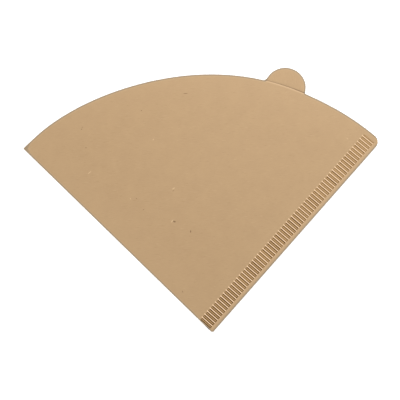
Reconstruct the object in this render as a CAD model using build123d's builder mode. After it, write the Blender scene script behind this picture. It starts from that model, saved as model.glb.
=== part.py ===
from build123d import *
import math
import os

# A cone coffee filter, pressed flat and lying on a table. One sheet of kraft paper is folded over
# along its left side, crimped together along its right side and left open at the round rim.
# The table is at z = 0, the cone's point looks along -Y and the seam is on the +X side.

# Driving dimensions, in millimetres and degrees

# The sheet
paper_thickness = 0.2  # one ply
cone_angle = 87.0  # from the fold to the middle line of the seam
rim_radius = 110.7  # from the cone's point to the rim
tip_radius = 0.6  # rounding of the paper's lowest corner
corner_radius = 3.5  # rounding of the corner between the seam and the rim

# The crimped seam
seam_margin = 1.8  # plain paper between the seam's edge and the crimp
crimp_length = 5.5  # of a ridge, square to the seam's edge
crimp_pitch = 1.7
crimp_start = 0.42  # from the paper's tip to the middle of the first ridge, which the fold cuts off
crimp_stop = 3.0  # least length from the middle of the last ridge to the end of the seam
crimp_depth = 0.45  # from a ridge's top down to a groove's floor
crimp_wall_angle = 64.0  # slope of the walls between ridges and grooves
ridge_top = 0.5  # width of a ridge's flat top
end_groove = 0.35  # floor of the narrow groove after the last ridge

# The finger tab on the back ply
tab_radius = 9.0
tab_angle = 22.7  # from the middle line of the seam to the tab, around the cone's point
seam_root_radius = 1.0  # where the tab runs into the rim, on the seam's side
fold_root_radius = 3.0  # the same on the fold's side, where it flows more softly

# The open pocket between the plies
fold_gap = 0.25  # clear height beside the fold
seam_step = 0.05  # from a ridge's top up to the front ply beside the crimp
mouth_gap = 0.9  # clear height at the middle of the rim
crown_share = 0.45  # where the front ply stands highest, as a share of the way from fold to seam
pocket_start = 1.0  # from the crimp's inner line to the pocket, along the middle of the cone

# Spare length of each cut that runs out of the paper, and of each piece that is trimmed
spare = 1.0

# Worked out from these
half_angle = math.radians(cone_angle / 2)
fold_direction = Vector(-math.sin(half_angle), math.cos(half_angle))
seam_direction = Vector(math.sin(half_angle), math.cos(half_angle))
seam_inward = Vector(-math.cos(half_angle), math.sin(half_angle))
seam_plies = 2 * paper_thickness
seam_reach = seam_margin + crimp_length / 2
seam_width = seam_margin + crimp_length
tip_reach = seam_reach / math.sin(2 * half_angle)
tip = -tip_reach * fold_direction
seam_rise = math.sqrt(rim_radius**2 - seam_reach**2)
seam_length = seam_rise + tip_reach * math.cos(2 * half_angle)
crimp_run = crimp_depth / math.tan(math.radians(crimp_wall_angle))
ridge_foot = ridge_top + 2 * crimp_run
ridge_steps = math.floor((seam_length - crimp_start - crimp_stop) / crimp_pitch)
last_ridge = crimp_start + ridge_steps * crimp_pitch
rim_plate = seam_length - last_ridge - ridge_foot / 2 - end_groove
seam_gap = crimp_depth + seam_step
bend_radius = paper_thickness + fold_gap / 2
pocket_point = crimp_length / 2 / math.sin(2 * half_angle) * math.cos(half_angle)
pocket_foot = pocket_point + pocket_start
pinch_depth = seam_reach + 2 * pocket_foot * math.sin(half_angle) + paper_thickness - seam_width
pinch_length = seam_width / math.tan(2 * half_angle) + pocket_start / math.cos(half_angle)
trim_height = seam_plies + mouth_gap + spare
tab_room = tab_radius + 2 * fold_root_radius

# The front ply's outline, drawn from the cone's point
with BuildSketch() as front_outline:
    with BuildLine():
        Line(tip, rim_radius * fold_direction)
        rim_end = seam_rise * seam_direction - seam_reach * seam_inward
        ThreePointArc(rim_radius * fold_direction, (0, rim_radius), rim_end)
        Line(rim_end, tip)
    make_face()
    fillet(front_outline.vertices().sort_by(Axis.X)[-1], corner_radius)
    fillet(front_outline.vertices().sort_by(Axis.Y)[0], tip_radius)

# The back ply's outline, with the tab, whose middle is on the rim
tab_centre = rim_radius * seam_direction.rotate(Axis.Z, tab_angle)
with BuildSketch() as back_outline:
    add(front_outline.sketch)
    with Locations(tab_centre):
        Circle(tab_radius)
    fold_root, seam_root = back_outline.vertices().filter_by(
        lambda corner: math.isclose(Vector(corner).length, rim_radius, rel_tol=1e-6)
        and (Vector(corner) - tab_centre).length < tab_room
    ).sort_by(Axis.X)
    for root, root_radius in ((fold_root, fold_root_radius), (seam_root, seam_root_radius)):
        fillet(back_outline.vertices().sort_by_distance(root)[0], root_radius)

# The table, with the middle of the sheet over the frame's origin
table = Plane(origin=-back_outline.sketch.bounding_box().center())
paper_tip = table.origin + tip
seam_corner = Plane(paper_tip - spare * seam_direction, x_dir=seam_direction)


def pocket_section(along, wall):
    """Upright section of the pocket, square to the cone's middle line.

    The distance along that line is from the cone's point, and the wall is 0 for the outside of
    the paper or one ply for the clear space between the plies.
    """
    slant = 1 / math.cos(half_angle)
    bend = (-along * math.tan(half_angle) + bend_radius * slant, bend_radius)
    seam_x = along * math.tan(half_angle) - (crimp_length / 2 + wall) * slant
    crown_x = bend[0] + crown_share * (seam_x - bend[0])
    crown_gap = seam_gap + (mouth_gap - seam_gap) * along / rim_radius
    ceiling = seam_plies - wall
    plane = Plane(table.origin + (0, along, 0), x_dir=(1, 0, 0), z_dir=(0, -1, 0))
    with BuildSketch(plane) as section:
        with BuildLine():
            bend_height = bend_radius - wall
            EllipticalCenterArc(bend, bend_height * slant, bend_height, start_angle=90, arc_size=180)
            Line((bend[0], wall), (seam_x, wall))
            Line((seam_x, wall), (seam_x, ceiling + seam_gap))
            crown = (crown_x, ceiling + crown_gap)
            Spline((seam_x, ceiling + seam_gap), crown, (bend[0], ceiling + fold_gap))
        make_face()
    return section.sketch


def crimp_relief(level):
    """Raised margin, ridges and plain upper end of the seam, standing on the given level."""
    across = Plane(
        paper_tip + (0, 0, level) - spare * seam_direction, x_dir=seam_inward, z_dir=seam_direction
    )
    beside = Plane(
        paper_tip + (0, 0, level) - spare * seam_inward, x_dir=seam_direction, z_dir=-seam_inward
    )
    ridges = [(crimp_start + step * crimp_pitch, 0) for step in range(ridge_steps + 1)]
    upward = (Align.CENTER, Align.MIN)
    with BuildPart() as relief:
        with BuildSketch(across):
            Trapezoid(2 * (seam_margin + crimp_run), crimp_depth, crimp_wall_angle, align=upward)
        extrude(amount=seam_length + 2 * spare)
        with BuildSketch(beside):
            with Locations(*ridges):
                Trapezoid(ridge_foot, crimp_depth, crimp_wall_angle, align=upward)
            with Locations((seam_length, 0)):
                Trapezoid(2 * rim_plate, crimp_depth, crimp_wall_angle, align=upward)
        extrude(amount=-(seam_width + spare))
    return relief.part


with BuildPart() as paper_filter:
    # The closed outside of the pocket, from its point to past the rim
    loft([pocket_section(pocket_foot, 0), pocket_section(rim_radius + spare, 0)], ruled=True)
    # The two plies of the seam, pressed flat
    with BuildSketch(seam_corner):
        Rectangle(seam_length + 2 * spare, seam_width + paper_thickness / 2, align=Align.MIN)
    extrude(amount=seam_plies)
    # The pinched paper where the seam meets the fold
    with BuildSketch(seam_corner):
        with Locations((0, seam_width)):
            Rectangle(spare + pinch_length + paper_thickness, pinch_depth, align=Align.MIN)
    extrude(amount=seam_plies + crimp_depth)
    # The crimp, pressed through both plies
    add(crimp_relief(seam_plies))
    # The paper's outline
    with BuildSketch(table):
        add(front_outline.sketch)
    extrude(amount=trim_height, both=True, mode=Mode.INTERSECT)
    # The clear space inside, open at the rim
    loft(
        [pocket_section(pocket_foot + paper_thickness, paper_thickness),
         pocket_section(rim_radius + 2 * spare, paper_thickness)],
        ruled=True,
        mode=Mode.SUBTRACT,
    )
    # The hollow underside of the margin and the ridges
    add(crimp_relief(0), mode=Mode.SUBTRACT)
    # The finger tab, which the back ply alone carries past the rim
    with BuildSketch(table):
        add(back_outline.sketch)
        with Locations(tab_centre):
            Circle(tab_room, mode=Mode.INTERSECT)
    extrude(amount=paper_thickness)

paper_filter.part.label = "paper_filter"
os.makedirs("parts", exist_ok=True)
export_step(paper_filter.part, "parts/paper_filter.step")
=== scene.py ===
"""Cone coffee filter of kraft paper, pressed flat, on a plain studio floor.

The filter is one sheet: folded over along its left side, crimped along its right side, open at the round rim,
with a finger tab on the back ply. Sizes of the object are in millimetres, and the meshes in metres.
"""
import logging
import math
from dataclasses import dataclass, field
from enum import Enum

import bmesh
import bpy
from bmesh.types import BMEdge, BMesh, BMVert
from mathutils import Matrix, Vector, noise


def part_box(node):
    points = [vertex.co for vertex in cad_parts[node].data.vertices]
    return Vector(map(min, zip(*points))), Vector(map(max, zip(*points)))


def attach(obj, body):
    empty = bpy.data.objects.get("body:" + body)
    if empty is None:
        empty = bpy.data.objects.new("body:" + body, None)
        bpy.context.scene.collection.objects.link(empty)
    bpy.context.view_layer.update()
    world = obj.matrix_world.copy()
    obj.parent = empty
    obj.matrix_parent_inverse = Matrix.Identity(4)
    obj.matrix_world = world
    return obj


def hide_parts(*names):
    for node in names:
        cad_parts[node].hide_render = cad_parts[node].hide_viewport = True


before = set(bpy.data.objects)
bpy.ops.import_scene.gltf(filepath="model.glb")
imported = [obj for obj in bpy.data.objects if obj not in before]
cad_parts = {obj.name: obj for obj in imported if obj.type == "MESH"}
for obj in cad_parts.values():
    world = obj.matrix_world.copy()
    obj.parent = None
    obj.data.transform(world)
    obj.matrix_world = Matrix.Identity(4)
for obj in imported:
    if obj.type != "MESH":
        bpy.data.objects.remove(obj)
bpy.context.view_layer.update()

NODE = "paper_filter"
MM = 0.001
UP = Vector((0.0, 0.0, 1.0))
AHEAD = Vector((0.0, 1.0, 0.0))
LOG = logging.getLogger(NODE)
# Numbers of a mix node's colour sockets, which share their names with others
MIX_SHARE, MIX_UNDER, MIX_OVER, MIX_RESULT = 0, 6, 7, 2
# How near to a line or to each other places on the sheet count as one, in millimetres
TRIM_MM = 1e-4
ON_LINE_MM = 0.001
ON_FOLD_MM = 0.002
AT_APEX_MM = 0.01
STRIP_WELD_MM = 0.01
PANEL_WELD_MM = 0.001
SHEET_WELD_MM = 0.002
# The same for angles at the apex, in radians
SAME_TURN = 1e-4


def linear(hex_colour: str) -> tuple[float, float, float, float]:
    """Turns an sRGB hex colour into linear values.

    Args:
        hex_colour: six hex digits after a hash sign.

    Returns:
        Red, green, blue and an alpha of 1.
    """
    shares = [int(hex_colour[i:i + 2], 16) / 255 for i in (1, 3, 5)]
    red, green, blue = (c / 12.92 if c <= 0.04045 else ((c + 0.055) / 1.055) ** 2.4 for c in shares)
    return red, green, blue, 1.0


def ease(low: float, high: float, value: float) -> float:
    """Smooth step of a value between two limits.

    Args:
        low: where the step starts, with 0.
        high: where it ends, with 1.
        value: the value to place.

    Returns:
        A share from 0 to 1, level at both ends.
    """
    share = min(max((value - low) / (high - low), 0.0), 1.0)
    return share * share * (3 - 2 * share)


def add_node(
    tree: bpy.types.NodeTree,
    kind: str,
    settings: dict[str, object] | None = None,
    inputs: dict[str | int, object] | None = None,
) -> bpy.types.Node:
    """Adds a node to a tree, with its settings and what goes into it.

    Args:
        tree: the material's or world's node tree.
        kind: the node's type name.
        settings: the node's own properties.
        inputs: for each input's name or number, a value or the output that is linked to it.

    Returns:
        The new node.
    """
    node = tree.nodes.new(kind)
    for name, value in (settings or {}).items():
        setattr(node, name, value)
    for name, value in (inputs or {}).items():
        if isinstance(value, bpy.types.NodeSocket):
            tree.links.new(value, node.inputs[name])
        else:
            node.inputs[name].default_value = value
    return node


def grown(result: dict[str, list]) -> tuple[list[BMVert], list[BMEdge]]:
    """Sorts out what an extrusion has made.

    Args:
        result: what the bmesh operator returned.

    Returns:
        The new vertices, and the new edges between them.
    """
    verts = [item for item in result["geom"] if isinstance(item, BMVert)]
    fresh = set(verts)
    edges = {edge for vert in verts for edge in vert.link_edges if fresh.issuperset(edge.verts)}
    return verts, list(edges)


class Mark(Enum):
    """Values that the sheet's mesh carries, by the names that its material reads."""

    UNFOLDED = "unfolded"  # place on the sheet before it was folded, in millimetres
    CREST = "crest"  # 1 where a ridge of the crimp is painted paler as a highlight, -1 on a groove's floor, 0 on plain paper
    WALL = "wall"  # 1 where the creases beside the ridges are in full painted shade, less in the painted shade on the tab
    INSET = "inset"  # distance from the nearest edge of the sheet's outline, in millimetres
    CUT = "cut"  # 1 on the cut edges of the paper


@dataclass(frozen=True)
class Splinter:
    """Coarse sliver of wood that shows in the front ply, in millimetres and degrees."""

    place: tuple[float, float]
    length: float
    width: float
    turn: float


@dataclass(frozen=True)
class KraftPaper:
    """Unbleached kraft filter paper, formed on a wire.

    It gives the eye a matt, warm brown with cloudy formation, pale and dark fibres, a few bark flecks and a
    fine tooth.
    On it are painted highlights on the crimp's lifted ridges, on the front ply's rim over the tab and just
    inside the outline, and painted shade in the crimp's creases, on the tab beside the front ply's rim, along
    the outline and on the cut edges.
    """

    cloud_dark: str = "#a38560"
    cloud_light: str = "#a78963"
    margin_colour: str = "#b0926d"
    # Painted shade: a dark line along the outline
    edge_shade_colour: str = "#8d7a60"
    # Painted highlight: a pale band just inside the outline
    edge_highlight_colour: str = "#b39570"
    # Painted highlight on the crimp's ridges, also used on the margin beside them and on the front ply's rim
    # over the tab
    crest_highlight_colour: str = "#f1cda6"
    pressed_colour: str = "#b18b57"
    # Painted shade in the crimp's creases and in the line on the tab beside the front ply's rim
    crease_shade_colour: str = "#301400"
    # Painted shade on the cut edges of the paper
    cut_shade_colour: str = "#6f5a3f"
    fleck_colour: str = "#6f5233"
    splinter_colour: str = "#c3a57f"
    pale_fibre: str = "#b19470"
    dark_fibre: str = "#947652"
    cloud_mm: float = 7.0
    # Real fibres are about 0.03 mm wide. These are drawn ten times as wide, so that they show in the render.
    fibre_width_mm: float = 0.35
    fibre_length_mm: float = 2.2
    fibre_lay: tuple[tuple[float, float], ...] = ((18.0, 0.45), (-35.0, 0.35), (78.0, 0.2))  # degrees, share
    fibre_slices: float = 10.0  # between the slices of the noise that the directions use
    fibre_bend: float = 0.4
    fibre_relief: float = 0.6  # how much they stand out, as a share of the tooth
    dark_splinters: tuple[Splinter, ...] = (
        Splinter((-11.3, 45.0), 1.5, 0.9, -15.0),
        Splinter((-4.5, 40.4), 1.4, 0.6, 90.0),
        Splinter((-8.8, 14.6), 1.2, 0.4, -65.0),
        Splinter((-4.6, 102.3), 2.4, 0.4, 0.0),
        Splinter((-27.3, 55.8), 0.8, 0.3, -48.0),
        Splinter((-11.3, 58.6), 1.1, 0.25, 30.0),
        Splinter((-50.2, 88.7), 1.1, 0.25, 40.0),
        Splinter((-24.4, 50.8), 1.2, 0.25, 38.0),
    )
    pale_splinters: tuple[Splinter, ...] = (
        Splinter((-11.2, 59.6), 1.8, 0.6, 28.0),
        Splinter((-47.4, 68.2), 2.4, 0.5, 40.0),
        Splinter((-12.3, 45.2), 1.6, 0.6, 56.0),
        Splinter((-29.9, 55.9), 1.2, 0.35, -60.0),
        Splinter((65.0, 78.8), 1.2, 0.35, -51.0),
        Splinter((-19.3, 81.9), 1.2, 0.4, 62.0),
    )
    fleck_spacing_mm: float = 8.0
    fleck_mm: float = 0.3
    fleck_chance: float = 0.87  # the draw above which a cell of the net has a fleck
    tooth_mm: float = 0.45
    tooth_height_mm: float = 0.03
    tooth_strength: float = 0.5
    edge_shade_mm: float = 0.8
    edge_highlight_mm: float = 1.1
    roughness: float = 0.62
    ior: float = 1.45
    specular: float = 0.5
    crease_shade_full: float = 0.62  # the mark from which a crease's painted shade is full, and its sheen is gone

    def material(self) -> bpy.types.Material:
        """Makes the paper's material.

        Returns:
            A node material that reads the marks on the sheet's mesh.
        """
        paper = bpy.data.materials.new("unbleached_kraft_filter_paper")
        paper.use_nodes = True
        tree = paper.node_tree
        tree.nodes.clear()
        marks = {
            mark: add_node(tree, "ShaderNodeAttribute", {"attribute_name": mark.value}) for mark in Mark
        }
        place = marks[Mark.UNFOLDED].outputs["Vector"]
        crest = marks[Mark.CREST].outputs["Fac"]
        inset = marks[Mark.INSET].outputs["Fac"]
        crease = marks[Mark.WALL].outputs["Fac"]
        cloud = add_node(
            tree, "ShaderNodeTexNoise", None,
            {"Vector": place, "Scale": 1 / self.cloud_mm, "Detail": 4.0, "Roughness": 0.6},
        ).outputs["Fac"]
        fibres = self.fibres(tree, place)
        # From the bottom up: a colour, the value that it follows, where it starts and is full, and its share
        layers = [
            (self.cloud_light, cloud, 0.3, 0.7, 1.0),
            (self.pale_fibre, fibres, 0.56, 0.72, 0.6),
            (self.dark_fibre, fibres, 0.44, 0.28, 0.6),
            (self.fleck_colour, self.flecks(tree, place), 0.0, 1.0, 0.8),
            (self.splinter_colour, self.splinters(tree, place, self.pale_splinters), 1.0, 0.5, 0.8),
            (self.fleck_colour, self.splinters(tree, place, self.dark_splinters), 1.0, 0.5, 0.9),
            (self.margin_colour, inset, 16.0, 0.0, 0.2),
            # Painted highlight: a pale band just inside the outline
            (self.edge_highlight_colour, inset, self.edge_highlight_mm, self.edge_shade_mm, 0.5),
            # Painted shade: a dark line along the outline
            (self.edge_shade_colour, inset, self.edge_shade_mm, 0.4, 0.9),
            # Painted highlight on the crimp's ridges, on the margin beside them and along the front ply's rim
            # over the tab
            (self.crest_highlight_colour, crest, 0.0, 1.0, 0.95),
            (self.pressed_colour, crest, -0.1, -0.9, 0.9),
            # Painted shade in the crimp's creases and in the line on the tab beside the front ply's rim
            (self.crease_shade_colour, crease, 0.0, self.crease_shade_full, 0.97),
            # Painted shade on the cut edges of the paper
            (self.cut_shade_colour, marks[Mark.CUT].outputs["Fac"], 0.0, 1.0, 1.0),
        ]
        colour: object = linear(self.cloud_dark)
        for tint, amount, low, high, most in layers:
            share = add_node(
                tree, "ShaderNodeMapRange", None,
                {"Value": amount, "From Min": low, "From Max": high, "To Min": 0.0, "To Max": most},
            )
            colour = add_node(
                tree, "ShaderNodeMix", {"data_type": "RGBA"},
                {MIX_SHARE: share.outputs[0], MIX_UNDER: colour, MIX_OVER: linear(tint)},
            ).outputs[MIX_RESULT]
        tooth = add_node(
            tree, "ShaderNodeTexNoise", None,
            {"Vector": place, "Scale": 1 / self.tooth_mm, "Detail": 2.0, "Roughness": 0.6},
        )
        height = add_node(
            tree, "ShaderNodeMath", {"operation": "MULTIPLY_ADD"},
            {0: fibres, 1: self.fibre_relief, 2: tooth.outputs["Fac"]},
        )
        bump = add_node(
            tree, "ShaderNodeBump", None,
            {
                "Height": height.outputs[0],
                "Strength": self.tooth_strength,
                "Distance": self.tooth_height_mm * MM,
            },
        )
        # Painted shade also takes the sheen out of the creases
        sheen = add_node(
            tree, "ShaderNodeMapRange", None,
            {"Value": crease, "From Max": self.crease_shade_full, "To Min": self.specular, "To Max": 0.0},
        )
        shader = add_node(
            tree, "ShaderNodeBsdfPrincipled", None,
            {
                "Base Color": colour,
                "Roughness": self.roughness,
                "IOR": self.ior,
                "Specular IOR Level": sheen.outputs[0],
                "Normal": bump.outputs[0],
            },
        )
        add_node(tree, "ShaderNodeOutputMaterial", None, {"Surface": shader.outputs[0]})
        return paper

    def fibres(self, tree: bpy.types.NodeTree, place: bpy.types.NodeSocket) -> bpy.types.NodeSocket:
        """Draws fibres that lie in a few directions.

        Args:
            tree: the material's node tree.
            place: place on the unfolded sheet.

        Returns:
            A value about 0.5, high on pale fibres and low on dark ones.
        """
        total: bpy.types.NodeSocket | None = None
        for number, (turn, weight) in enumerate(self.fibre_lay):
            drawn = add_node(
                tree, "ShaderNodeMapping", None,
                {
                    "Vector": place,
                    "Location": (0.0, 0.0, self.fibre_slices * number),
                    "Rotation": (0.0, 0.0, math.radians(turn)),
                    "Scale": (1 / self.fibre_length_mm, 1 / self.fibre_width_mm, 1.0),
                },
            )
            strand = add_node(
                tree, "ShaderNodeTexNoise", None,
                {"Vector": drawn.outputs[0], "Scale": 1.0, "Detail": 1.0, "Distortion": self.fibre_bend},
            )
            total = add_node(
                tree, "ShaderNodeMath", {"operation": "MULTIPLY_ADD"},
                {0: strand.outputs["Fac"], 1: weight, 2: 0.0 if total is None else total},
            ).outputs[0]
        return total

    def splinters(
        self, tree: bpy.types.NodeTree, place: bpy.types.NodeSocket, slivers: tuple[Splinter, ...]
    ) -> bpy.types.NodeSocket:
        """Draws single splinters, each of them an ellipse.

        Args:
            tree: the material's node tree.
            place: place on the unfolded sheet.
            slivers: the splinters.

        Returns:
            A value that is 0 in the middle of a splinter, 1 on its outline and more elsewhere.
        """
        nearest: bpy.types.NodeSocket | None = None
        for sliver in slivers:
            drawn = add_node(
                tree, "ShaderNodeMapping", {"vector_type": "TEXTURE"},
                {
                    "Vector": place,
                    "Location": (*sliver.place, 0.0),
                    "Rotation": (0.0, 0.0, math.radians(sliver.turn)),
                    "Scale": (sliver.length / 2, sliver.width / 2, 1.0),
                },
            )
            reach = add_node(
                tree, "ShaderNodeVectorMath", {"operation": "LENGTH"}, {0: drawn.outputs[0]}
            ).outputs["Value"]
            nearest = reach if nearest is None else add_node(
                tree, "ShaderNodeMath", {"operation": "MINIMUM"}, {0: nearest, 1: reach}
            ).outputs[0]
        return nearest

    def flecks(self, tree: bpy.types.NodeTree, place: bpy.types.NodeSocket) -> bpy.types.NodeSocket:
        """Draws the few bark flecks, at most one in each cell of a loose net.

        Args:
            tree: the material's node tree.
            place: place on the unfolded sheet.

        Returns:
            A value of 1 on a fleck and 0 elsewhere.
        """
        cell = add_node(
            tree, "ShaderNodeTexVoronoi", {"voronoi_dimensions": "2D"},
            {"Vector": place, "Scale": 1 / self.fleck_spacing_mm},
        )
        size = self.fleck_mm / self.fleck_spacing_mm
        spot = add_node(
            tree, "ShaderNodeMapRange", None,
            {
                "Value": cell.outputs["Distance"],
                "From Min": size / 2,
                "From Max": size,
                "To Min": 1.0,
                "To Max": 0.0,
            },
        )
        some = add_node(
            tree, "ShaderNodeMath", {"operation": "GREATER_THAN"},
            {0: cell.outputs["Color"], 1: self.fleck_chance},
        )
        return add_node(
            tree, "ShaderNodeMath", {"operation": "MULTIPLY"}, {0: spot.outputs[0], 1: some.outputs[0]}
        ).outputs[0]


@dataclass(frozen=True)
class Crimp:
    """Ridges and grooves pressed through both plies along the seam, which hold them together.

    A place on the seam is given along its edge, from the paper's tip, and across it, from the edge inwards.
    """

    margin: float = 1.76
    middle: float = 4.55  # from the edge to the line that points at the cone's point
    pitch: float = 1.7
    start: float = 0.42  # the middle of the first ridge, which the fold cuts off
    stop: float = 3.0
    depth: float = 0.45
    crest: float = 0.1  # half the ridge's flat top, in pitches
    foot: float = 0.34  # from the ridge's middle to the groove's floor, in pitches
    # From the ridge's middle to where a crease's painted shade starts, is full, fades and has ended, in
    # pitches
    crease: tuple[float, float, float, float] = (0.09, 0.17, 0.26, 0.41)
    end: tuple[float, float] = (0.42, 0.62)  # from the last ridge to where its groove rises and ends
    outer_wall: float = 0.2
    inner_end: float = 7.55  # where the grooves have run out, across the seam
    inner_fade: float = 0.4
    ridge_over: float = 0.4  # how much further in the ridges show
    unevenness: float = 0.1
    margin_highlight: float = 0.14  # painted highlight on the margin beside the grooves, as a share of a ridge's
    margin_highlight_band: tuple[float, float] = (0.9, 1.5)  # from the edge to where that starts and is full
    shade_spread: float = 0.4  # how much lighter the painted shade is on some of the walls, at random
    easing: float = 0.0018  # loss of force for each millimetre from the tip
    fading: float = 0.001  # how much more the marks that it leaves lose
    force_draw: int = 3
    shade_draw: int = 7
    # Columns of the mesh in one pitch, in pitches
    phases: tuple[float, ...] = (0.0, 0.1, 0.18, 0.26, 0.34, 0.42, 0.5, 0.58, 0.66, 0.74, 0.82, 0.9)
    # Rows of the mesh across the seam
    rows: tuple[float, ...] = (
        0.0, 0.9, 1.5, 1.7, 1.78, 1.87, 1.95, 2.3, 3.2, 4.2, 5.2, 6.2, 6.9, 7.15, 7.28, 7.42, 7.55, 7.95
    )

    @property
    def width(self) -> float:
        """Width of the strip of the mesh that carries the crimp."""
        return self.rows[-1]

    @property
    def columns(self) -> int:
        """How many columns of the mesh are in one pitch."""
        return len(self.phases)

    @property
    def step(self) -> float:
        """Mean width of a column of the mesh."""
        return self.pitch / self.columns

    def column_place(self, column: int) -> float:
        """Where a column of the mesh is, along the seam.

        Args:
            column: its number, counted from the first ridge's middle.

        Returns:
            The length along the seam.
        """
        pitches, number = divmod(column, self.columns)
        return self.start + self.pitch * (pitches + self.phases[number])

    def away(self, along: float, ridges: int) -> float:
        """How far a place along the seam is from the nearest ridge.

        Args:
            along: the place along the seam.
            ridges: how many ridges the seam has.

        Returns:
            The distance from the ridge's middle, in pitches.
        """
        phase = (along - self.start) / self.pitch
        return abs(phase - min(max(round(phase), 0), ridges - 1))

    def groove(self, along: float, ridges: int) -> float:
        """How far a place along the seam is pressed down.

        Args:
            along: the place along the seam.
            ridges: how many ridges the seam has.

        Returns:
            0 on a ridge, 1 on a groove's floor.
        """
        away = self.away(along, ridges)
        pressed = ease(self.crest, self.foot, away)
        if along > self.start + (ridges - 1) * self.pitch:
            # The narrow groove after the last ridge
            pressed *= 1 - ease(*self.end, away)
        return pressed

    def bite(self, across: float) -> tuple[float, float]:
        """How far the crimp is pressed in at a place across the seam.

        Args:
            across: the place across the seam.

        Returns:
            The shares at the steep outer end and at the soft inner end of the grooves, 1 between them.
        """
        outer = ease(self.margin, self.margin + self.outer_wall, across)
        return outer, 1 - ease(self.inner_end - self.inner_fade, self.inner_end, across)

    def tints(self, along: float, across: float, ridges: int) -> tuple[float, float]:
        """How much painted highlight, pressed colour and painted crease shade a place on the seam gets.

        Args:
            along: the place along the seam.
            across: the place across the seam.
            ridges: how many ridges the seam has.

        Returns:
            1 for the painted highlight on a ridge, -1 on a groove's floor and 0 on plain paper, and then 1
            for full painted shade in a crease.
        """
        pressed = self.groove(along, ridges)
        away = self.away(along, ridges)
        start, full, fade, end = self.crease
        outer, inner = self.bite(across)
        ridge_inner = self.bite(across - self.ridge_over)[1]
        force = self.force(along) * (1 - self.fading * along)
        between = along > self.start + self.pitch / 2 and away < 0.5
        raised = 1 - ease(start, full, away) if between else 0.0
        crest = force * outer * (ridge_inner * raised - inner * pressed)
        # A little of the ridges' painted highlight on the margin beside the grooves
        if between:
            crest += self.margin_highlight * force * (1 - outer) * ease(*self.margin_highlight_band, across)
        crease_shade_share = ease(start, full, away) * (1 - ease(fade, end, away))
        wall = math.floor(2 * (along - self.start) / self.pitch)
        shade_kept = 1 - self.shade_spread * self.chance(wall, self.shade_draw)
        # The painted shade runs along both walls of a groove and round its outer end
        return crest, force ** 2 * shade_kept * inner * max(outer * crease_shade_share, 4 * pressed * outer * (1 - outer))

    def force(self, along: float) -> float:
        """How hard the crimp was pressed, a little less from the tip to the rim and from groove to groove.

        Args:
            along: the place along the seam.

        Returns:
            A share of the full depth.
        """
        groove = math.floor((along - self.start) / self.pitch)
        return (1 - self.unevenness * self.chance(groove, self.force_draw)) * (1 - self.easing * along)

    def chance(self, number: int, draw: int) -> float:
        """Random share that belongs to a groove or a wall, and is the same in each run.

        Args:
            number: the groove's or the wall's number.
            draw: which of its draws.

        Returns:
            A share from 0 to 1.
        """
        return abs(noise.cell(Vector((number + 0.5, draw + 0.5, 0.5))))


@dataclass(frozen=True)
class FingerTab:
    """Round tab on the back ply, whose middle is on the rim."""

    radius: float = 9.0
    angle: float = 22.7  # degrees round the cone's point, from the seam
    root_radii: tuple[float, float] = (1.0, 3.0)  # where it runs into the rim, the seam's side first
    rise: float = 0.2  # how far the back ply has curled off the table, at the tab's root
    rise_reach: tuple[float, float] = (1.0, 4.0)  # where the curl starts to fade and has ended, in radii
    lift: float = 0.12  # and how much more at the tab's end
    round_steps: int = 28
    root_steps: int = 4
    # Rows of the mesh, from the rim to its outline
    rows: tuple[float, ...] = (0.03, 0.05, 0.07, 0.1, 0.15, 0.25, 0.4, 0.6, 0.8, 1.0)
    shade: float = 0.45  # from the front ply's rim to the middle of the line that its shade leaves on the tab
    shade_width: float = 0.3
    shade_core: float = 0.3  # the share of that width that is fully dark
    shade_depth: float = 0.3  # as a share of a crease of the crimp
    lip_highlight: float = 0.3  # painted highlight along the front ply's rim over the tab, as a share of a ridge's
    lip_width: float = 0.5

    @property
    def steps(self) -> int:
        """Steps of the mesh along the whole outline of the tab."""
        return self.round_steps + 2 * self.root_steps


@dataclass(frozen=True)
class Pocket:
    """Open space between the plies, as clear heights."""

    fold_gap: float = 0.25
    crown: float = 0.48  # what the front ply stands up at the middle of the rim
    lean: float = 1.4  # above 1, it stands highest nearer to the fold
    slack: float = 0.02  # between plies that touch
    seam_run: float = 4.0  # over which the back ply comes down from the seam to the table
    fold_run: float = 14.0  # over which the fold takes its own gap, from the crimp's end
    fold_share: float = 0.35  # and the share of the way from the seam to the fold that this takes
    wave: float = 0.05
    wave_mm: float = 32.0


@dataclass(frozen=True)
class RimCut:
    """How the rim's cut strays from a true arc, with angles in degrees at the apex, from the seam."""

    stray: float = 0.42
    crest: float = 28.0  # where it is furthest out, beside the tab
    wavelength: float = 56.0
    start: tuple[float, float] = (6.0, 20.0)  # where it begins and is full
    end: tuple[float, float] = (78.0, 87.0)  # where it starts to fade and has ended
    reach: float = 0.88  # from this share of the rim's radius outwards, the paper follows it


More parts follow.
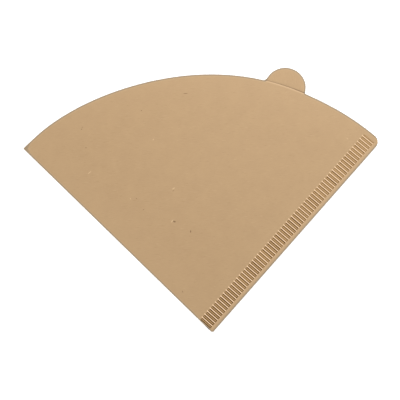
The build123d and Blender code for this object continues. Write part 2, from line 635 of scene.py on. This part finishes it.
@dataclass(frozen=True)
class FoldedSheet:
    """The paper, drawn on a plan whose origin is the cone's point and whose +Y is the cone's middle line."""

    ply: float = 0.2
    cone_angle: float = 87.0
    rim_radius: float = 110.7
    tip_radius: float = 0.6
    corner_radius: float = 3.5
    crimp: Crimp = field(default_factory=Crimp)
    tab: FingerTab = field(default_factory=FingerTab)
    pocket: Pocket = field(default_factory=Pocket)
    rim_cut: RimCut = field(default_factory=RimCut)
    finish: KraftPaper = field(default_factory=KraftPaper)
    fold_inset: float = 0.33  # what makes the painted dark edge line thinner on the fold than along the cut edges
    fold_ease: float = 2.0  # over which the plies draw in beside the fold, to leave room for its bend
    bend_steps: int = 6
    rounding_steps: int = 6
    lip_columns: int = 4  # of the panel, from the rim to the ring that ends its rubbed lip
    side_steps: int = 6  # of the panel, from the seam to the tab
    panel_steps: int = 30  # of the panel, from the tab to the fold

    @property
    def half(self) -> float:
        """Half the cone's angle, in radians."""
        return math.radians(self.cone_angle / 2)

    @property
    def seam_way(self) -> Vector:
        """Direction along the seam, away from the tip."""
        return Vector((math.sin(self.half), math.cos(self.half), 0.0))

    @property
    def seam_in(self) -> Vector:
        """Direction across the seam, inwards."""
        return Vector((-math.cos(self.half), math.sin(self.half), 0.0))

    @property
    def fold_way(self) -> Vector:
        """Direction along the fold, away from the tip."""
        return Vector((-math.sin(self.half), math.cos(self.half), 0.0))

    @property
    def fold_out(self) -> Vector:
        """Direction out of the paper, square to the fold."""
        return Vector((-math.cos(self.half), -math.sin(self.half), 0.0))

    @property
    def tip(self) -> Vector:
        """The paper's lowest corner, before it is rounded."""
        return -self.crimp.middle / math.sin(2 * self.half) * self.fold_way

    @property
    def apex(self) -> Vector:
        """Where the strip's inner line meets the fold."""
        return (self.crimp.width - self.crimp.middle) / math.sin(2 * self.half) * self.fold_way

    @property
    def seam_length(self) -> float:
        """Length of the seam's edge, before its ends are rounded."""
        return math.sqrt(self.rim_radius ** 2 - self.crimp.middle ** 2) - self.tip.dot(self.seam_way)

    @property
    def ridges(self) -> int:
        """How many ridges the crimp has."""
        return 1 + math.floor((self.seam_length - self.crimp.start - self.crimp.stop) / self.crimp.pitch)

    @property
    def tab_centre(self) -> Vector:
        """The middle of the tab, on the rim."""
        return self.rim_radius * (Matrix.Rotation(math.radians(self.tab.angle), 3, "Z") @ self.seam_way)

    def on_seam(self, place: Vector) -> tuple[float, float]:
        """Gives a place on the plan as a place on the seam.

        Args:
            place: the place on the plan.

        Returns:
            The lengths along and across the seam.
        """
        return (place - self.tip).dot(self.seam_way), (place - self.tip).dot(self.seam_in)

    def rim_distance(self, way: Vector) -> float:
        """How far the rim is from the apex.

        Args:
            way: the direction from the apex.

        Returns:
            The distance in that direction.
        """
        ahead = self.apex.dot(way.normalized())
        return math.sqrt(ahead ** 2 + self.rim_radius ** 2 - self.apex.length_squared) - ahead

    def panel_turn(self, place: Vector) -> float:
        """The angle at the apex from the crimp's inner line to a place.

        Args:
            place: the place on the plan.

        Returns:
            The angle, in radians.
        """
        arm = place - self.apex
        return math.atan2(arm.dot(self.seam_in), arm.dot(self.seam_way))

    def tab_outline(self) -> list[Vector]:
        """Points along the tab's outline, from its root near the seam to the other one.

        Returns:
            Points on the plan, the first and the last of them on the rim.
        """
        tab = self.tab
        points = []
        for side, radius in zip((-1, 1), tab.root_radii):
            away = self.rim_radius + radius
            reach = tab.radius + radius
            spread = math.acos((away ** 2 + self.rim_radius ** 2 - reach ** 2) / (2 * away * self.rim_radius))
            root = Matrix.Rotation(side * spread, 3, "Z") @ self.tab_centre.normalized() * away
            start = -root.normalized()
            swing = start.angle((self.tab_centre - root).normalized())
            corner = [
                root + radius * (Matrix.Rotation(side * swing * i / tab.root_steps, 3, "Z") @ start)
                for i in range(tab.root_steps + 1)
            ]
            points.append(corner)
        first, last = points[0][-1] - self.tab_centre, points[1][-1] - self.tab_centre
        swing = first.angle(last)
        crown = [
            self.tab_centre + Matrix.Rotation(swing * i / tab.round_steps, 3, "Z") @ first
            for i in range(1, tab.round_steps)
        ]
        return points[0] + crown + points[1][::-1]

    def strip_planes(self) -> list[tuple[Vector, Vector]]:
        """Planes that trim the seam's strip to the paper's outline.

        Returns:
            For each plane a point on it and the direction out of the paper.
        """
        seam_out = -self.seam_in
        tip_centre = self.tip + AHEAD * self.tip_radius / math.sin(self.half)
        inner = self.tip + self.corner_radius * self.seam_in
        ahead = inner.dot(self.seam_way)
        inside = self.rim_radius - self.corner_radius
        corner = inner + (math.sqrt(ahead ** 2 + inside ** 2 - inner.length_squared) - ahead) * self.seam_way
        rim_end = self.apex + self.seam_way * self.rim_distance(self.seam_way)
        rounds = [
            (tip_centre, self.tip_radius, self.fold_out, seam_out),
            (corner, self.corner_radius, seam_out, corner.normalized()),
            (Vector(), self.rim_radius, corner.normalized(), rim_end.normalized()),
        ]
        planes = [(self.tip, self.fold_out)]
        for centre, radius, first, last in rounds:
            for i in range(self.rounding_steps + 1):
                out = first.slerp(last, i / self.rounding_steps)
                planes.append((centre + radius * out, out))
        return planes

    def strip(self, bm: BMesh) -> None:
        """Lays out the seam's strip of one ply, flat.

        Args:
            bm: the empty mesh that it is made in.
        """
        crimp = self.crimp
        before = math.ceil((crimp.start + crimp.pitch) / crimp.step)
        columns = before + math.ceil((self.seam_length + crimp.pitch - crimp.start) / crimp.step)
        rows = len(crimp.rows) - 1
        bmesh.ops.create_grid(bm, x_segments=columns, y_segments=rows, size=0.5)
        for vert in bm.verts:
            along = crimp.column_place(round((vert.co.x + 0.5) * columns) - before)
            across = crimp.rows[round((vert.co.y + 0.5) * rows)]
            vert.co = self.tip + along * self.seam_way + across * self.seam_in
        for point, out in self.strip_planes():
            every = bm.verts[:] + bm.edges[:] + bm.faces[:]
            bmesh.ops.bisect_plane(
                bm, geom=every, dist=TRIM_MM, plane_co=point, plane_no=out, clear_outer=True
            )
        bmesh.ops.remove_doubles(bm, verts=bm.verts, dist=STRIP_WELD_MM)

    def panel(self, bm: BMesh) -> int:
        """Spins the strip's inner line to the fold, which makes the plain panel of one ply, flat.

        Args:
            bm: the mesh that holds the strip.

        Returns:
            The number that the mesh's "column" values have on the rim.
        """
        column = bm.verts.layers.int["column"]
        inner = self.crimp.width - ON_LINE_MM
        line = [e for e in bm.edges if all(self.on_seam(v.co)[1] > inner for v in e.verts)]
        chain = sorted({v for e in line for v in e.verts}, key=lambda v: v.co.dot(self.seam_way))
        for number, vert in enumerate(chain, 1):
            vert[column] = number
        # The panel needs fewer rings than the crimp has columns: the others are dissolved at the end
        spare = set(range(1, len(chain))) - set(range(1, len(chain), self.crimp.columns))
        spare.discard(len(chain) - self.lip_columns)
        outline = self.tab_outline()
        near, far = self.panel_turn(outline[0]), self.panel_turn(outline[-1])
        turns = [
            (near, self.side_steps),
            (far - near, self.tab.steps),
            (2 * self.half - far, self.panel_steps),
        ]
        moving = line + chain
        for angle, steps in turns:
            moving = bmesh.ops.spin(
                bm, geom=moving, cent=self.apex, axis=UP, dvec=Vector(), angle=angle, steps=steps,
                use_duplicate=False,
            )["geom_last"]
        bmesh.ops.remove_doubles(bm, verts=bm.verts, dist=PANEL_WELD_MM)
        seam_side = self.rim_distance(self.seam_way)
        for vert in bm.verts:
            arm = vert.co - self.apex
            if vert[column] and arm.length > AT_APEX_MM:
                vert.co = self.apex + arm * self.rim_distance(arm) / seam_side
        rings = [
            e for e in bm.edges
            if e.verts[0][column] == e.verts[1][column] and e.verts[0][column] in spare
        ]
        bmesh.ops.dissolve_edges(bm, edges=rings, use_verts=True)
        return len(chain)

    def inset(self, place: Vector, on_back: bool) -> float:
        """How far a place is from the nearest edge of the outline, the tab's on the back ply included.

        Args:
            place: the place on the plan.
            on_back: whether it is on the back ply.

        Returns:
            The distance.
        """
        in_tab = self.tab.radius - (place - self.tab_centre).length
        if on_back and in_tab > 0:
            return in_tab
        sides = (
            self.rim_radius - place.length,
            self.on_seam(place)[1],
            (self.tip - place).dot(self.fold_out) + self.fold_inset,
        )
        # Over the tab, the front ply's rim gets the painted edge highlight but no painted edge shade
        return max(min(sides), self.finish.edge_shade_mm if in_tab > 0 else 0.0)

    def levels(self, place: Vector) -> tuple[float, float]:
        """Heights of the two outer faces of the filter over the table.

        Args:
            place: the place on the plan.

        Returns:
            The heights of the front ply's upper face and the back ply's under face.
        """
        crimp, pocket = self.crimp, self.pocket
        along, across = self.on_seam(place)
        touching = 2 * self.ply + pocket.slack
        if across <= crimp.width + ON_LINE_MM:
            outer, inner = crimp.bite(across)
            back = crimp.depth * (1 - crimp.groove(along, self.ridges) * outer * inner * crimp.force(along))
            return back + touching, back
        arm = place - self.apex
        rim = self.rim_distance(arm)
        share = self.panel_turn(place) / (2 * self.half)
        middle = math.sin(math.pi * share ** pocket.lean)
        back = crimp.depth * (1 - ease(0.0, pocket.seam_run, across - crimp.width))
        from_tab = (place - self.tab_centre).length / self.tab.radius
        back = max(back, self.tab.rise * (1 - ease(*self.tab.rise_reach, from_tab)))
        level = ease(0.0, pocket.fold_share, share) * ease(0.0, pocket.fold_run, arm.length)
        gap = crimp.depth + (pocket.fold_gap - crimp.depth) * level
        swell = pocket.crown * min(arm.length / rim, 1.0) + pocket.wave * noise.noise(place / pocket.wave_mm)
        curl = max(arm.length - rim, 0.0) / self.tab.radius
        return touching + gap + middle * swell, back + self.tab.lift * curl ** 2

    def stray(self, plan: Vector, on_back: bool) -> Vector:
        """How the rim's cut strays from a true arc, out beside the tab and in beyond it.

        Args:
            plan: the place on the plan.
            on_back: whether it is on the back ply, which nowhere shows outside the front ply's rim.

        Returns:
            What the place moves by, nothing far from the rim.
        """
        cut = self.rim_cut
        turn = math.degrees(self.panel_turn(plan))
        wave = math.cos(2 * math.pi * (turn - cut.crest) / cut.wavelength)
        wave *= ease(*cut.start, turn) * (1 - ease(*cut.end, turn))
        near = ease(cut.reach, 1.0, plan.length / self.rim_radius)
        return plan.normalized() * cut.stray * near * (min(wave, 0.0) if on_back else wave)

    def stand(self, plan: Vector, turn: float, on_fold: bool, depth: float) -> Vector:
        """Puts a place on the plan to its place on the folded sheet.

        Args:
            plan: the place on the plan.
            turn: 0 on the front ply, 1 on the back ply, and between them round the bend of the fold.
            on_fold: whether the place is on the fold.
            depth: how far the place is inside the paper, from the outer face.

        Returns:
            The place, in millimetres from the cone's point and the table.
        """
        front, back = self.levels(plan)
        bend = (front - back) / 2
        inside = bend - depth
        place = plan + self.stray(plan, turn == 1.0) + UP * (back + bend + inside * math.cos(math.pi * turn))
        from_fold = (self.tip - plan).dot(self.fold_out)
        place -= self.fold_out * bend * max(1 - from_fold / self.fold_ease, 0.0)
        if on_fold:
            place += self.fold_out * inside * math.sin(math.pi * turn)
        return place

    def mesh(self, origin: Vector) -> bpy.types.Mesh:
        """Builds the whole sheet: both plies, the bend of the fold and the tab, with the paper's thickness.

        Args:
            origin: the cone's point on the table, in the row frame, in millimetres.

        Returns:
            The mesh, in metres, with the marks that the material reads.
        """
        bm = bmesh.new()
        column = bm.verts.layers.int.new("column")
        plan = bm.verts.layers.float_vector.new("plan")
        turn = bm.verts.layers.float.new("turn")
        fold = bm.verts.layers.int.new("fold")
        bm.verts.layers.float_vector.new(Mark.UNFOLDED.value)
        bm.verts.layers.float.new(Mark.CREST.value)
        bm.verts.layers.float.new(Mark.WALL.value)
        bm.verts.layers.float.new(Mark.INSET.value)
        bm.faces.layers.float.new(Mark.CUT.value)
        self.strip(bm)
        rim = self.panel(bm)
        for vert in bm.verts:
            vert[plan] = vert.co
            vert[fold] = abs((vert.co - self.tip).dot(self.fold_out)) < ON_FOLD_MM
        bend = [e for e in bm.edges if e.is_boundary and all(v[fold] for v in e.verts)]
        back = bmesh.ops.duplicate(bm, geom=bm.verts[:] + bm.edges[:] + bm.faces[:])
        for vert in (item for item in back["geom"] if isinstance(item, BMVert)):
            vert[turn] = 1.0
        for step in range(1, self.bend_steps + 1):
            verts, bend = grown(bmesh.ops.extrude_edge_only(bm, edges=bend))
            for vert in verts:
                vert[turn] = step / self.bend_steps
        self.add_tab(bm, rim)
        for vert in bm.verts:
            vert.co = self.stand(vert[plan], vert[turn], vert[fold], 0.0)
        bmesh.ops.remove_doubles(bm, verts=bm.verts, dist=SHEET_WELD_MM)
        bmesh.ops.recalc_face_normals(bm, faces=bm.faces)
        front = [face for face in bm.faces if not any(v[turn] for v in face.verts)]
        if max(front, key=lambda face: face.calc_area()).normal.z < 0:
            bmesh.ops.reverse_faces(bm, faces=bm.faces)
        lining = set(bm.verts)
        bmesh.ops.extrude_face_region(bm, geom=bm.faces[:])
        for vert in bm.verts:
            depth = self.ply if vert in lining else 0.0
            vert.co = MM * (origin + self.stand(vert[plan], vert[turn], vert[fold], depth))
        self.add_marks(bm, lining)
        bm.normal_update()
        mesh = bpy.data.meshes.new("paper_filter_sheet")
        bm.to_mesh(mesh)
        bm.free()
        for name in ("column", "plan", "turn", "fold"):
            mesh.attributes.remove(mesh.attributes[name])
        return mesh

    def add_tab(self, bm: BMesh, rim: int) -> None:
        """Grows the tab from the back ply's rim.

        Args:
            bm: the mesh of both plies, flat.
            rim: the "column" value on the rim.
        """
        column = bm.verts.layers.int["column"]
        plan = bm.verts.layers.float_vector["plan"]
        turn = bm.verts.layers.float["turn"]
        outline = self.tab_outline()
        near, far = (self.panel_turn(point) for point in (outline[0], outline[-1]))
        root = sorted(
            (
                v for v in bm.verts
                if v[column] == rim and v[turn] == 1.0
                and near - SAME_TURN < self.panel_turn(v.co) < far + SAME_TURN
            ),
            key=lambda v: self.panel_turn(v.co),
        )
        starts = [v.co.copy() for v in root]
        for number, vert in enumerate(root):
            vert[column] = number
        chain = set(root)
        edges = [e for e in bm.edges if e.is_boundary and chain.issuperset(e.verts)]
        for share in self.tab.rows:
            verts, edges = grown(bmesh.ops.extrude_edge_only(bm, edges=edges))
            for vert in verts:
                number = vert[column]
                vert[plan] = starts[number].lerp(outline[number], share)

    def add_marks(self, bm: BMesh, lining: set[BMVert]) -> None:
        """Smooths the faces, keeps the cut edges sharp, and writes the values that the material reads.

        Args:
            bm: the finished mesh.
            lining: the vertices of the faces between the plies.
        """
        plan = bm.verts.layers.float_vector["plan"]
        turn = bm.verts.layers.float["turn"]
        unfolded = bm.verts.layers.float_vector[Mark.UNFOLDED.value]
        crest = bm.verts.layers.float[Mark.CREST.value]
        wall = bm.verts.layers.float[Mark.WALL.value]
        inset = bm.verts.layers.float[Mark.INSET.value]
        cut = bm.faces.layers.float[Mark.CUT.value]
        tab = self.tab
        for vert in bm.verts:
            place = vert[plan]
            along, across = self.on_seam(place)
            vert[crest], vert[wall] = self.crimp.tints(along, across, self.ridges)
            beyond = place.length - self.rim_radius
            if vert[turn] == 1.0 and beyond > 0:
                shade = ease(tab.shade_core, 1.0, abs(beyond - tab.shade) / tab.shade_width)
                vert[wall] = tab.shade_depth * (1 - shade)
            elif vert[turn] == 0.0 and (place - self.tab_centre).length < tab.radius:
                # Painted highlight along the front ply's rim where it lies over the tab
                vert[crest] = tab.lip_highlight * ease(-tab.lip_width, 0.0, beyond)
            vert[inset] = self.inset(place, vert[turn] == 1.0)
            behind = place.dot(self.fold_out) if vert[turn] > 0.5 else 0.0
            vert[unfolded] = place - 2 * behind * self.fold_out
        for face in bm.faces:
            face.smooth = True
            face[cut] = 0 < sum(vert in lining for vert in face.verts) < len(face.verts)
        for edge in bm.edges:
            edge.smooth = len({face[cut] for face in edge.link_faces}) == 1

    def piece(self) -> bpy.types.Object:
        """Makes the sheet's object and dresses it.

        Returns:
            The piece, which stands for the CAD node.
        """
        low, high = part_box(NODE)
        tab_top = self.tab_centre.y + self.tab.radius
        origin = Vector((low.x / MM + self.rim_radius * math.sin(self.half), high.y / MM - tab_top, 0.0))
        sheet = bpy.data.objects.new("paper_filter_sheet", self.mesh(origin))
        bpy.context.scene.collection.objects.link(sheet)
        sheet.data.materials.append(self.finish.material())
        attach(sheet, "root")
        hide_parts(NODE)
        return sheet


@dataclass(frozen=True)
class Lamp:
    """Round soft box that looks at a place on the floor. Lengths in metres."""

    name: str
    place: tuple[float, float, float]
    aim: tuple[float, float, float]
    size: float
    watts: float

    def hang(self) -> bpy.types.Object:
        """Hangs the lamp, out of the camera's sight.

        Returns:
            The lamp's object.
        """
        data = bpy.data.lights.new(self.name, "AREA")
        data.shape = "DISK"
        data.size = self.size
        data.energy = self.watts
        lamp = bpy.data.objects.new(self.name, data)
        lamp.location = self.place
        lamp.rotation_euler = (Vector(self.place) - Vector(self.aim)).to_track_quat("Z", "Y").to_euler()
        lamp.visible_camera = False
        bpy.context.scene.collection.objects.link(lamp)
        return lamp


@dataclass(frozen=True)
class Studio:
    """Plain pale floor, soft light and the camera, which looks down almost straight. Lengths in metres."""

    floor_size: float = 4.0
    floor_drop: float = 0.00002  # under the object, so that their faces don't share a plane
    floor_colour: str = "#fafafa"
    floor_glow: float = 0.3
    sky_colour: str = "#ffffff"
    sky_strength: float = 0.82
    lamps: tuple[Lamp, ...] = (
        Lamp("studio_key", (0.075, 0.14, 0.25), (0.075, 0.14, 0.0), 0.15, 0.4),
        Lamp("studio_side", (-0.11, 0.03, 0.15), (-0.11, 0.03, 0.0), 0.1, 0.012),
        Lamp("studio_fill", (-0.8, -1.6, 1.5), (0.0, 0.0, 0.0), 2.2, 19.2),
    )
    target: tuple[float, float, float] = (-0.000908, -0.000622, 0.00065)
    distance: float = 0.52638
    azimuth: float = 2.81
    elevation: float = 76.88
    roll: float = -5.017
    lens: float = 110.0
    sensor: float = 36.0
    clip_start: float = 0.01

    def floor(self) -> bpy.types.Object:
        """Lays the floor just under the object.

        Returns:
            The floor's object.
        """
        bm = bmesh.new()
        bmesh.ops.create_grid(bm, x_segments=1, y_segments=1, size=self.floor_size / 2)
        bmesh.ops.translate(bm, verts=bm.verts, vec=-self.floor_drop * UP)
        mesh = bpy.data.meshes.new("studio_floor")
        bm.to_mesh(mesh)
        bm.free()
        # Matt white board, lit a little from below as on a light table.
        # It gives the eye an even white with the faintest shadow.
        board = bpy.data.materials.new("matt_white_board")
        board.use_nodes = True
        tree = board.node_tree
        tree.nodes.clear()
        shader = add_node(
            tree, "ShaderNodeBsdfPrincipled", None,
            {
                "Base Color": linear(self.floor_colour),
                "Roughness": 1.0,
                "Specular IOR Level": 0.0,
                "Emission Color": linear(self.floor_colour),
                "Emission Strength": self.floor_glow,
            },
        )
        add_node(tree, "ShaderNodeOutputMaterial", None, {"Surface": shader.outputs[0]})
        mesh.materials.append(board)
        floor = bpy.data.objects.new("studio_floor", mesh)
        bpy.context.scene.collection.objects.link(floor)
        return floor

    def sky(self) -> bpy.types.World:
        """Sets the even light from all round.

        Returns:
            The scene's world.
        """
        scene = bpy.context.scene
        scene.view_settings.view_transform = "Standard"
        sky = bpy.data.worlds.new("studio_sky")
        sky.use_nodes = True
        tree = sky.node_tree
        tree.nodes.clear()
        glow = add_node(
            tree, "ShaderNodeBackground", None,
            {"Color": linear(self.sky_colour), "Strength": self.sky_strength},
        )
        add_node(tree, "ShaderNodeOutputWorld", None, {"Surface": glow.outputs[0]})
        scene.world = sky
        return sky

    def camera(self) -> bpy.types.Object:
        """Sets the camera at the picture's viewing angle.

        Returns:
            The camera's object.
        """
        azimuth, elevation, roll = (math.radians(x) for x in (self.azimuth, self.elevation, self.roll))
        back = Vector((
            math.sin(azimuth) * math.cos(elevation),
            -math.cos(azimuth) * math.cos(elevation),
            math.sin(elevation),
        ))
        level = UP.cross(back).normalized()
        turn = Matrix.Rotation(roll, 3, back)
        right = turn @ level
        axes = Matrix((right, back.cross(right), back)).transposed()
        data = bpy.data.cameras.new("camera")
        data.lens = self.lens
        data.sensor_width = self.sensor
        data.clip_start = self.clip_start
        camera = bpy.data.objects.new("camera", data)
        camera.matrix_world = Matrix.Translation(Vector(self.target) + back * self.distance) @ axes.to_4x4()
        bpy.context.scene.collection.objects.link(camera)
        bpy.context.scene.camera = camera
        return camera


def main() -> None:
    """Builds the sheet and the studio, and reports each piece."""
    logging.basicConfig(level=logging.INFO, format="%(name)s: %(message)s")
    sheet = FoldedSheet().piece()
    LOG.info("%s: %d faces", sheet.name, len(sheet.data.polygons))
    studio = Studio()
    for staged in (studio.floor(), studio.sky(), *(lamp.hang() for lamp in studio.lamps), studio.camera()):
        LOG.info("%s is set", staged.name)


if __name__ == "__main__":
    main()
